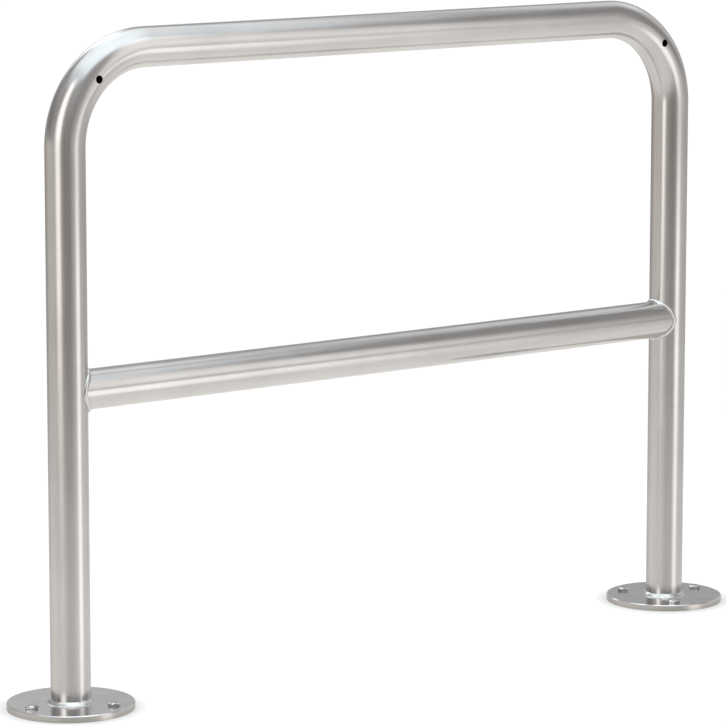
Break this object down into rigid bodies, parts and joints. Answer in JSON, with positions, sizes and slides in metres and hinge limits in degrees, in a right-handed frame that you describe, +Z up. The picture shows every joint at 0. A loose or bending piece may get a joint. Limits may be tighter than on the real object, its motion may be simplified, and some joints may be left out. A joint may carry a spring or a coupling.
{
  "type": "crowd control barrier",
  "caption": "Bent tube hoop barrier with a welded mid rail, on round bolted base plates, in satin stainless steel; stands on paving to guide or hold back people.",
  "frame": {"origin": "on the ground, at the middle of the footprint, midway between the two legs", "axes": "+Z up, +X along the barrier to the leg on the right, -Y the side with the vent holes"},
  "size_m": [1.39, 0.19, 1],
  "materials": {
    "satin_tube": "satin ground along the tube",
    "base_plate": "fine linear brushed",
    "weld_bead": "bright rippled weld, cleaned",
    "anchor_bolt": "smooth machined"
  },
  "bodies": {
    "root": {"hoop_tube": "satin_tube", "mid_rail": "satin_tube", "left_base_plate": "base_plate", "right_base_plate": "base_plate", "left_foot_weld": "weld_bead", "right_foot_weld": "weld_bead", "left_rail_weld": "weld_bead", "right_rail_weld": "weld_bead", "left_outer_bolt": "anchor_bolt", "left_front_bolt": "anchor_bolt", "left_back_bolt": "anchor_bolt", "right_outer_bolt": "anchor_bolt", "right_front_bolt": "anchor_bolt", "right_back_bolt": "anchor_bolt"}
  },
  "joints": []
}
